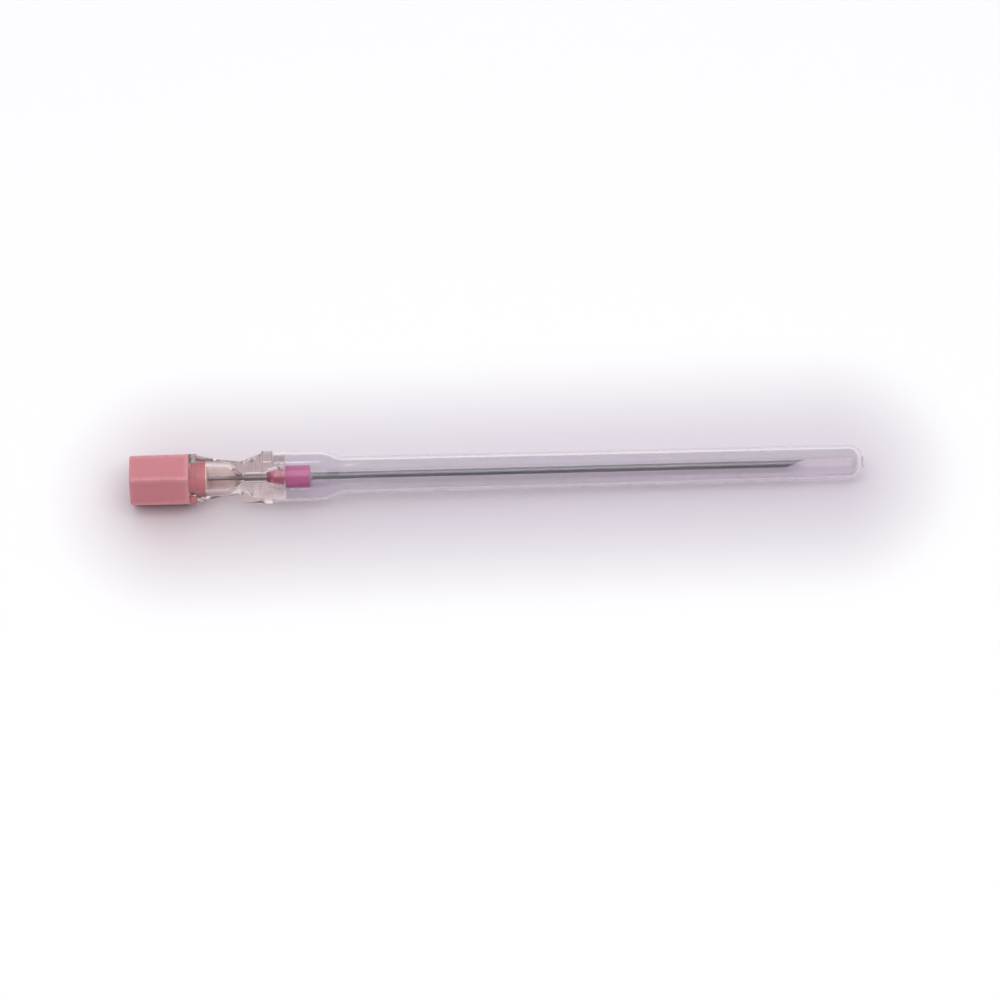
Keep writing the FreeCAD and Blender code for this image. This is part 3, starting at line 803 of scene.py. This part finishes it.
def ground_end(y, z, needle, setback):
    """How far along X the ground steel reaches at (y, z).

    The bevel is the plane x = tip - L (z + R) / 2R. Each side facet is a plane through the tip
    that is turned about the needle by FACET_TURN and falls F over the cannula's diameter, and
    what is left of the steel is whatever lies behind all three.
    """
    radius = needle.radius
    tip = needle.tip - setback
    bevel = tip - needle.bevel * (z + radius) / (2 * radius)
    fall = needle.facet / (2 * radius)
    facet = tip - fall * ((z + radius) * np.cos(FACET_TURN) + np.abs(y) * np.sin(FACET_TURN))
    return np.minimum(bevel, facet)


def shaft_rings(back, reach, radius, needle, setback, angles):
    """Rings of a straight shaft: circles up to where the bevel starts, then rings that lean over
    evenly until the last one lies in the ground surface."""
    y, z = radius * np.sin(angles), radius * np.cos(angles)
    end = ground_end(y, z, needle, setback)
    straight = np.linspace(back, reach, 40)[:, None] + np.zeros(len(angles))
    leaning = reach + (end - reach) * np.linspace(0, 1, 25)[1:, None]
    x = np.concatenate([straight, leaning])
    return np.stack(np.broadcast_arrays(x, y, z), 2)


def mark_ground(mesh, needle):
    """An attribute that is 1 on the ground bevel and facets and 0 on the drawn shaft."""
    x, y, z = upright(mesh)
    gap = ground_end(y, z, needle, 0.0) - x
    mark(mesh, "ground", gap < needle.setback + 0.02 * MM)


class BuildSteel(bpy.types.Operator):
    """Build the cannula and the stylet wire, both ground to the same point"""

    bl_idname = "spinal_needle.steel"
    bl_label = "Cannula and stylet wire"

    def execute(self, context):
        needle = context.scene.needle_shaft
        shade = context.scene.needle_finishes.steel
        angles = np.linspace(-np.pi, np.pi, THIN_AROUND, endpoint=False)
        reach = needle.tip - needle.bevel - 0.6 * MM

        wire = shaft_rings(-needle.wire_back, reach, needle.wire, needle, needle.setback, angles)
        inner = [self.end_ring(needle, angles, needle.wire * share, needle.setback)
                 for share in (0.75, 0.5, 0.25)]
        mesh = clean_mesh("stylet_wire_ground", *skin(np.concatenate([wire, np.array(inner)])))
        mark_ground(mesh, needle)
        piece("stylet_wire_ground", mesh, steel("wire_steel", shade, grind=0.5),
              "stylet", "stylet_wire")

        outside = shaft_rings(needle.back, reach, needle.radius, needle, 0.0, angles)
        crease = self.crease_radius(needle, angles)
        face = [self.end_ring(needle, angles, crease, 0.0),
                self.end_ring(needle, angles, needle.lumen, 0.0)]
        inside = shaft_rings(needle.back, reach, needle.lumen, needle, 0.0, angles)[::-1][1:]
        rings = np.concatenate([outside, np.array(face), inside])
        mesh = clean_mesh("cannula_ground", *skin(rings, close=True))
        mark_ground(mesh, needle)
        piece("cannula_ground", mesh, steel("cannula_steel", shade, grind=0.8),
              "needle", "cannula")
        return {"FINISHED"}

    @staticmethod
    def end_ring(needle, angles, radius, setback):
        """A ring in the ground surface at that distance from the axis."""
        y, z = radius * np.sin(angles), radius * np.cos(angles)
        return np.stack([ground_end(y, z, needle, setback), y, z], 1)

    @staticmethod
    def crease_radius(needle, angles):
        """Distance from the axis to the line where the bevel meets a side facet.

        Both planes pass through the tip, so that line is a chord of the cannula's outline, and
        its distance in a direction a from the tip is D / sin(a + c), with D the chord's own
        distance from the axis and c the angle that it makes at the tip.
        """
        radius = needle.radius
        steeper = needle.bevel / needle.facet - np.cos(FACET_TURN)
        chord = np.arctan(steeper / np.sin(FACET_TURN))
        from_tip = np.pi - np.abs(angles)
        reach = radius * np.sin(chord) / np.maximum(np.sin(from_tip + chord), 0.2)
        return np.clip(reach, needle.lumen + FIT, radius - 0.004 * MM)


# Hub

class HubSections:
    """Rings of the hub's outside, all with the same angles, so that they join up without twists.

    The angles are counted from the key side. Up to LEFT they run along the notch's floor or
    the lug's top, up to RIGHT up the notch's side or round the lug's edge, and up to FOOT down
    the lug's side to the barrel. Past SETTLED every ring keeps the plain angles.
    """

    LEFT, RIGHT, FOOT, NEAR, SETTLED, FLAT_AT = np.radians([12, 18, 25, 27, 45, 60])

    def __init__(self, hub, key_width, key_foot):
        self.hub = hub
        self.half_notch = key_width / 2 + hub.notch_play
        self.floor = key_foot - hub.notch_play
        plain = around_flats(corner_share=0.07, steps=6, flat_steps=9)
        steps = [np.linspace(0, self.LEFT, 5), np.linspace(self.LEFT, self.RIGHT, 9)[1:],
                 np.linspace(self.RIGHT, self.FOOT, 5)[1:], [self.NEAR]]
        near = np.concatenate(steps)
        rest = plain[np.abs(plain) > self.NEAR + 0.001]
        reach = np.arccos(hub.front_flat / hub.front_radius)
        ends = self.FLAT_AT + reach * np.array([-1.03, -1.0, -0.97, 0.97, 1.0, 1.03])
        self.angles = np.sort(np.concatenate([rest, near, -near[1:], ends, -ends]))[::-1]
        self.side = np.sign(self.angles)
        self.size = np.abs(self.angles)

    def circle(self, x, radius):
        """A plain circle."""
        return ring_at(x, self.angles, radius)

    def from_sides(self, x, y, z):
        """A ring from the y of one side and the z of both."""
        return np.stack([np.full(y.shape, x), self.side * y, z], 1)

    def settled(self, start, wanted, end):
        """Angles that are as wanted at start and as they were past end."""
        return np.interp(self.size, [start, end, np.pi], [wanted, end, np.pi])

    def lug(self, x, radius, inset=0.0):
        """The lug over a barrel of that radius: y = sin t, z = cos t round its edges, straight
        sides, and then the barrel from where the side meets it."""
        hub, t = self.hub, self.size
        edge = max(hub.lug_edge - inset, 0.1 * MM)
        half, top = hub.lug_width / 2 - inset, hub.lug_top - inset
        meet = np.arcsin(half / radius)
        bend = np.clip((t - self.LEFT) / (self.RIGHT - self.LEFT), 0, 1) * np.pi / 2
        y = np.where(t < self.LEFT, t / self.LEFT * (half - edge),
                     half - edge + edge * np.sin(bend))
        z = top - edge + edge * np.cos(bend)
        fall = np.clip((t - self.RIGHT) / (self.FOOT - self.RIGHT), 0, 1)
        z = np.where(t > self.RIGHT, z + (radius * np.cos(meet) - z) * fall, z)
        beyond = self.settled(self.FOOT, meet, self.SETTLED)
        y = np.where(t > self.FOOT, radius * np.sin(beyond), y)
        z = np.where(t > self.FOOT, radius * np.cos(beyond), z)
        return self.from_sides(x, y, z)

    def lug_foot(self, x, radius, share):
        """A circle whose angles lead up to the lug's, by a share from 0 to 1."""
        meet = np.arcsin(self.hub.lug_width / 2 / radius)
        led = np.interp(self.size, [0, self.FOOT, self.SETTLED, np.pi],
                        [0, meet, self.SETTLED, np.pi])
        angles = self.side * (self.size + (led - self.size) * share)
        return ring_at(x, angles, radius)

    def flange(self, x, inset):
        """The front flange: a circle with a flat on each side of the lug, flat / cos d away at an
        angle d from the flat's own normal."""
        off = np.minimum(np.abs(self.size - self.FLAT_AT), np.pi / 3)
        flat = (self.hub.front_flat - inset) / np.cos(off)
        return ring_at(x, self.angles, np.minimum(self.hub.front_radius - inset, flat))

    def notched(self, x, inset, notch_inset):
        """The rear flange's hexagon with the notch: floor, side and then the flat. A point of
        the side is as far out as the barrel, so that the barrel's rings meet it there."""
        t, apothem = self.size, self.hub.rear_flats / 2 - inset
        half, floor = self.half_notch + notch_inset, self.floor - notch_inset
        corner = self.hub.corner - min(inset, self.hub.corner * 0.6)
        leave = np.arctan(half / apothem)
        meets = np.clip(np.arcsin(half / BARREL_END), self.LEFT + 0.01, self.RIGHT - 0.01)
        rise = np.interp(t, [self.LEFT, meets, self.RIGHT],
                         [floor, np.sqrt(BARREL_END**2 - half**2), apothem])
        beyond = self.settled(self.RIGHT, leave, self.NEAR)
        far = six_sided(beyond, apothem, corner)
        y = np.where(t <= self.LEFT, t / self.LEFT * half, half)
        z = np.where(t <= self.LEFT, floor, rise)
        y = np.where(t > self.RIGHT, far * np.sin(beyond), y)
        z = np.where(t > self.RIGHT, far * np.cos(beyond), z)
        return self.from_sides(x, y, z)


def hub_rings(hub, cap, collar):
    """Rings of the whole hub, once round its section: rear face, barrel, flanges and nose on the
    outside, and back through the collar's seat, the cannula's bore, the funnel and the socket.

    The funnel widens from the throat by s s (3 - 2 s), with s the share of its length, so that
    it leaves the throat and joins the socket smoothly.
    """
    cut = HubSections(hub, cap.key_width, cap.key_foot)
    front, face = hub.front_at, hub.front_at + hub.front_length
    nose_end = face + hub.nose_length
    near, far = slab(0, hub.rear_length, hub.edge)
    mouth = hub.socket_radius + 0.12 * MM
    rings = [cut.circle(0, mouth), cut.circle(0, mouth + SUPPORT)]
    rings += [cut.notched(x, inset, inset) for x, inset in near]
    rings += [cut.notched(x, inset, 0) for x, inset in far]

    # The barrel's line from flange to flange: x, r and the radius of the blend there.
    barrel = divided(rounded_path([
        (hub.rear_length, BARREL_END, 0), (4.6 * MM, 3.55 * MM, 9 * MM),
        (9.2 * MM, 2.95 * MM, 2.5 * MM), (12.7 * MM, BARREL_END, 0.35 * MM),
        (front, 4.283 * MM, 0),
    ], BLEND_STEPS), 0.45 * MM)
    lead = 1.6 * MM  # length over which the barrel's angles lead up to the lug's
    soft = 0.25 * MM  # radius on the lug's rear edge
    lug_back = front - hub.lug_length

    def radius_at(x):
        return float(np.interp(x, barrel[:, 0], barrel[:, 1]))

    before = [x for x in barrel[:, 0] if x < lug_back - MERGED] + [lug_back]
    rings += [cut.lug_foot(x, radius_at(x), np.clip((x - lug_back + lead) / lead, 0, 1))
              for x in before]
    rings += [cut.lug(x, radius_at(x), inset) for x, inset in slab(lug_back, front, soft)[0][:-1]]
    rings += [cut.lug(x, radius) for x, radius in barrel if x > lug_back + soft + SUPPORT]
    rings += [cut.flange(x, inset) for x, inset in sum(slab(front, face, hub.edge), [])]

    # The inside, from the nose back: collar's seat, cannula's bore, funnel and syringe socket.
    play = 0.03 * MM  # between the collar's tail and its seat
    tail = collar.back - play
    throat = 0.45 * MM  # radius at which the funnel ends at the cannula
    bore_end = hub.socket_depth + 2.85 * MM
    seat = rounded_path([
        (face, hub.nose_radius, 0), (nose_end, hub.nose_radius, 0.3 * MM),
        (nose_end, collar.cone + play, 0.06 * MM), (tail, collar.tail + play, 0),
        (tail, collar.bore, 0), (bore_end, collar.bore, 0), (bore_end, throat, 0),
    ])
    start, end = bore_end - 0.1 * MM, hub.socket_depth - 1.0 * MM
    wide = hub.socket_radius - SYRINGE_SLOPE * end
    share = np.linspace(0, 1, 25)
    funnel = np.stack([start + (end - start) * share,
                       throat + (wide - throat) * share**2 * (3 - 2 * share)], 1)
    socket = rounded_path([(end, wide, 0), (0, hub.socket_radius, 0.12 * MM), (0, mouth, 0)])
    inside = divided(np.concatenate([seat, funnel, socket[1:]]), 0.8 * MM)
    rings += [cut.circle(x, radius) for x, radius in inside[:-1]]
    return np.array(rings)


class BuildHub(bpy.types.Operator):
    """Build the clear hub with its flanges, lug, notch and bores"""

    bl_idname = "spinal_needle.hub"
    bl_label = "Hub"

    def execute(self, context):
        scene = context.scene
        rings = hub_rings(scene.needle_hub, scene.needle_cap, scene.needle_collar)
        mesh = clean_mesh("hub_moulding", *skin(rings, close=True))
        material = clear_plastic(
            "clear_hub_plastic", scene.needle_finishes.clear, ior=1.57, film=0.98,
            rough=(0.03, 0.08), surface=hub_surface, reflections=CAUGHT_TURNS)
        piece("hub_moulding", mesh, material, "needle", "needle_hub")
        return {"FINISHED"}


# Collar and adhesive

class BuildCollar(bpy.types.Operator):
    """Build the magenta collar, its conical tail and the adhesive in its well"""

    bl_idname = "spinal_needle.collar"
    bl_label = "Collar and adhesive"

    def execute(self, context):
        collar, finishes = context.scene.needle_collar, context.scene.needle_finishes
        well_end = collar.front - collar.well_depth
        path = rounded_path([
            (collar.back, collar.bore, 0), (collar.back, collar.tail, 0.12 * MM),
            (collar.seat, collar.cone, 0), (collar.seat, collar.radius, 0.12 * MM),
            (collar.front, collar.radius, 0.25 * MM), (collar.front, collar.well, 0.1 * MM),
            (well_end, collar.well, 0.1 * MM), (well_end, collar.bore, 0),
            (collar.back + 0.3 * MM, collar.bore, 0),
        ])
        rings = turned_rings(divided(path, 0.4 * MM))
        mesh = clean_mesh("collar_moulding", *skin(rings, close=True))
        piece("collar_moulding", mesh, collar_plastic(finishes, collar),
              "needle", "hub_collar")

        # The adhesive's line, closed along the cannula: the well's floor, its side and the climb.
        floor, outer = well_end + FIT, collar.well - FIT
        # The adhesive climbs by s ^ 2.2 along the cannula while its radius falls by s ^ 0.8.
        share = np.linspace(0, 1, 14)
        climb = np.stack([collar.front - 2 * FIT + (collar.rise + FIT) * share**2.2,
                          outer + (collar.bore + FIT - outer) * share**0.8], 1)
        top = collar.front + collar.rise - FIT
        path = np.concatenate([[(floor, collar.bore), (floor, outer)], climb, [(top, collar.bore)]])
        rings = turned_rings(divided(path, 0.3 * MM), THIN_AROUND)
        mesh = clean_mesh("adhesive_fillet", *skin(rings, close=True))
        piece("adhesive_fillet", mesh, cured_adhesive(finishes),
              "needle", "bond_bead")
        return {"FINISHED"}


# Cover

class BuildCover(bpy.types.Operator):
    """Build the clear cover: lipped socket, shoulder and long closed tube"""

    bl_idname = "spinal_needle.cover"
    bl_label = "Cover"

    def execute(self, context):
        cover = context.scene.needle_cover
        mouth, end = cover.mouth, cover.mouth + cover.length
        gripping = 2.3 * MM  # length of the bore that grips the hub's nose
        grip_end, lip_end = mouth + gripping, mouth + cover.lip_length
        socket_end = mouth + cover.socket
        tube = socket_end + cover.shoulder
        floor = end - cover.end_wall
        outside = cover.bore + cover.wall
        draft = 0.1 * MM  # fall of the socket's radius along its length
        lip = outside + cover.lip
        # Along the outside from the closed end to the mouth, and back along the inside.
        path = rounded_path([
            (end, 0, 0), (end, cover.end, cover.end_round), (tube, cover.tube, cover.blend),
            (socket_end, outside - draft, cover.blend), (lip_end, outside, 0.04 * MM),
            (lip_end, lip, 0.05 * MM), (mouth, lip, 0.08 * MM), (mouth, cover.bore, 0.1 * MM),
            (grip_end, cover.bore, 0), (socket_end, cover.bore - draft, cover.blend),
            (tube, cover.tube - cover.tube_wall, cover.blend),
            (floor, cover.end - cover.tube_wall, cover.end_round - cover.end_wall), (floor, 0, 0),
        ], BLEND_STEPS)
        path[:, 1] = np.maximum(path[:, 1], ON_AXIS)
        mesh = clean_mesh("cover_moulding", *skin(turned_rings(divided(path, 1.6 * MM))))
        material = clear_plastic(
            "clear_cover_plastic", context.scene.needle_finishes.cover, ior=1.5, film=0.985,
            rough=(0.03, 0.09), surface=cover_surface, reflections=COVER_REFLECTIONS)
        piece("cover_moulding", mesh, material, "cover", "needle_cover")
        return {"FINISHED"}


# Stage

def table_material(shade):
    """Pale, matt table top with a very faint grain, which goes over to white away from the
    needle. Only the picture does, and not the light that the table sends back. The distance
    from the needle's line is |y| beside it and the length of (x - end, y) past its ends. Far
    out, past all shadows, the picture is plain white."""
    end = 0.115  # the needle's line on the table runs from x = 0 to here
    tinted = 0.004, 0.030  # distances over which the tint goes over to white
    shadowed = 0.14, 0.40  # distances over which white paint goes over to plain white
    material, nodes, place = new_material("table_top")
    x, y, _ = nodes.parts(place)
    past = nodes.math("MAXIMUM", nodes.math("SUBTRACT", x, end), nodes.math("SUBTRACT", 0.0, x))
    past = nodes.math("MAXIMUM", past, 0.0)
    squares = nodes.math("MULTIPLY", past, past), nodes.math("MULTIPLY", y, y)
    away = nodes.math("POWER", nodes.math("ADD", *squares), 0.5)
    seen = nodes.seen()
    white = nodes.math("MULTIPLY", seen, nodes.span(away, *tinted))
    far = nodes.math("MULTIPLY", seen, nodes.span(away, *shadowed))
    warm = (shade[0], shade[1] * 0.985, shade[2] * 0.95, 1.0)
    near = nodes.blend(nodes.span(x, -0.03, 0.06), warm, paint(shade))
    cloud = nodes.math("MULTIPLY", nodes.noise(place, 6.0), 0.12)
    light = nodes.math("ADD", nodes.span(y, -0.02, 0.06, 0.0, 0.88), cloud)
    base = nodes.blend(light, near, paint(shade, 1.13))
    matt = nodes.principled({
        "Base Color": nodes.blend(white, base, WHITE), "Roughness": 0.85,
        "Specular IOR Level": 0.1,
    })
    plain = nodes.add("ShaderNodeEmission", {"Color": WHITE, "Strength": 1.0}).outputs[0]
    show(nodes, nodes.mixed(far, matt, plain))
    return material


def table_mesh(studio, hub):
    """The table's top: z rises along x by the tilt at which the needle rests, near the needle
    alone, and levels off to both sides by 2 R tanh((x - m) / 2 R), where m is the needle's
    middle. It touches the flat of the hub's front flange."""
    x = np.concatenate([np.linspace(-3, -0.3, 8), np.linspace(-0.25, 0.35, 61),
                        np.linspace(0.4, 3, 8)])
    y = np.linspace(-3, 3, 13)
    middle, reach = 0.06, 0.12

    def rise(place):
        return studio.table_tilt * 2 * reach * np.tanh((place - middle) / (2 * reach))

    height = rise(x) - rise(hub.front_at + hub.front_length) - hub.front_flat
    grid = np.stack(np.broadcast_arrays(x[:, None], y[None], height[:, None]), 2)
    rows, columns = grid.shape[:2]
    corner = np.arange(rows - 1)[:, None] * columns + np.arange(columns - 1)[None]
    faces = np.stack([corner, corner + columns, corner + columns + 1, corner + 1], 2).reshape(-1, 4)
    mesh = bpy.data.meshes.new("table")
    mesh.from_pydata(grid.reshape(-1, 3).tolist(), [], faces.tolist())
    smooth(mesh)
    return mesh


def lamp(name, place, target, size, power, mirrored=True):
    """A rectangular soft lamp at a place, facing a target, and whether glossy surfaces show it."""
    data = bpy.data.lights.new(name, "AREA")
    data.shape = "RECTANGLE"
    data.size, data.size_y = size
    data.energy = power
    item = bpy.data.objects.new(name, data)
    item.location = place
    item.rotation_euler = (Vector(target) - Vector(place)).to_track_quat("-Z", "Y").to_euler()
    item.visible_glossy = mirrored
    bpy.context.scene.collection.objects.link(item)


def light_world(scene):
    """A soft grey room that is lighter overhead and behind the needle. What is seen of it has
    paler colours than what it lights with."""
    world = bpy.data.worlds.new("room")
    world.use_nodes = True
    world.node_tree.nodes.clear()
    nodes = Nodes(world.node_tree)
    direction = nodes.add("ShaderNodeTexCoord").outputs["Generated"]
    _, depth, height = nodes.parts(direction)
    behind = nodes.math("ADD", depth, nodes.math("MULTIPLY", height, 0.35))
    light = nodes.blend(nodes.span(behind, -0.5, 0.7),
                        (0.42, 0.41, 0.44, 1.0), (1.0, 0.99, 1.02, 1.0))
    room = nodes.blend(nodes.span(behind, -0.6, 0.5),
                       (0.66, 0.63, 0.68, 1.0), (1.15, 1.08, 1.16, 1.0))
    shown = nodes.blend(nodes.seen(), light, room)
    back = nodes.add("ShaderNodeBackground", {"Color": shown, "Strength": 0.62})
    nodes.add("ShaderNodeOutputWorld", {"Surface": back.outputs[0]})
    scene.world = world


def place_camera(scene, studio):
    """The camera looks down at the needle from a long way off, rolled so that the needle rises
    to the right as the slope says."""
    up_tilt, slope = studio.elevation, studio.slope
    ahead = Vector((0, np.cos(up_tilt), -np.sin(up_tilt)))
    level = Vector((0, np.sin(up_tilt), np.cos(up_tilt)))
    along = Vector((1, 0, 0))
    right = along * np.cos(slope) - level * np.sin(slope)
    up = along * np.sin(slope) + level * np.cos(slope)
    target = along * studio.middle - up * studio.drop
    data = bpy.data.cameras.new("camera")
    data.sensor_width = 36
    data.lens = data.sensor_width * studio.distance / studio.width
    data.clip_start, data.clip_end = 0.01, 20
    camera = bpy.data.objects.new("camera", data)
    turn = Matrix((right, up, -ahead)).transposed().to_4x4()
    camera.matrix_world = Matrix.Translation(target - ahead * studio.distance) @ turn
    scene.collection.objects.link(camera)
    scene.camera = camera


class BuildStage(bpy.types.Operator):
    """Build the table, the lamps, the room and the camera"""

    bl_idname = "spinal_needle.stage"
    bl_label = "Stage"

    def execute(self, context):
        scene = context.scene
        studio = scene.needle_studio
        table = bpy.data.objects.new("table", table_mesh(studio, scene.needle_hub))
        table.data.materials.append(table_material(scene.needle_finishes.table))
        scene.collection.objects.link(table)
        middle = (0.05, 0, 0)
        lamp("back_spot", (-0.02, 0.42, 0.50), (0.012, 0, 0), (0.07, 0.05), 0.07)
        lamp("key_strip", (0.05, -0.24, 0.87), middle, (1.4, 0.50), 4.2, mirrored=False)
        lamp("top_softbox", (0.05, 0.15, 0.90), middle, (1.7, 1.2), 2.6, mirrored=False)
        light_world(scene)
        place_camera(scene, studio)
        scene.view_settings.view_transform = "Standard"
        return {"FINISHED"}


# Panel and main

PROPERTY_GROUPS = {
    "needle_cap": CapSizes,
    "needle_hub": HubSizes,
    "needle_shaft": NeedleSizes,
    "needle_collar": CollarSizes,
    "needle_cover": CoverSizes,
    "needle_finishes": Finishes,
    "needle_studio": Studio,
}
OPERATORS = (BuildStage, BuildStyletCap, BuildSteel, BuildHub, BuildCollar, BuildCover)


class NeedlePanel(bpy.types.Panel):
    """Sizes, colours and a button for each piece"""

    bl_idname = "VIEW3D_PT_spinal_needle"
    bl_label = "Spinal needle"
    bl_space_type = "VIEW_3D"
    bl_region_type = "UI"
    bl_category = "Needle"

    def draw(self, context):
        for operator in OPERATORS:
            self.layout.operator(operator.bl_idname)
        for name, group in PROPERTY_GROUPS.items():
            box = self.layout.box()
            box.label(text=group.__doc__.rstrip("."))
            for field in group.__annotations__:
                box.prop(getattr(context.scene, name), field)


def register():
    for group in PROPERTY_GROUPS.values():
        bpy.utils.register_class(group)
    for name, group in PROPERTY_GROUPS.items():
        setattr(bpy.types.Scene, name, PointerProperty(type=group))
    for operator in OPERATORS:
        bpy.utils.register_class(operator)
    bpy.utils.register_class(NeedlePanel)


def unregister():
    bpy.utils.unregister_class(NeedlePanel)
    for operator in reversed(OPERATORS):
        bpy.utils.unregister_class(operator)
    for name, group in PROPERTY_GROUPS.items():
        delattr(bpy.types.Scene, name)
        bpy.utils.unregister_class(group)


def main():
    """Registers the add-on, and builds every piece and the stage."""
    register()
    bpy.ops.spinal_needle.stage()
    bpy.ops.spinal_needle.stylet_cap()
    bpy.ops.spinal_needle.steel()
    bpy.ops.spinal_needle.hub()
    bpy.ops.spinal_needle.collar()
    bpy.ops.spinal_needle.cover()


if __name__ == "__main__":
    main()
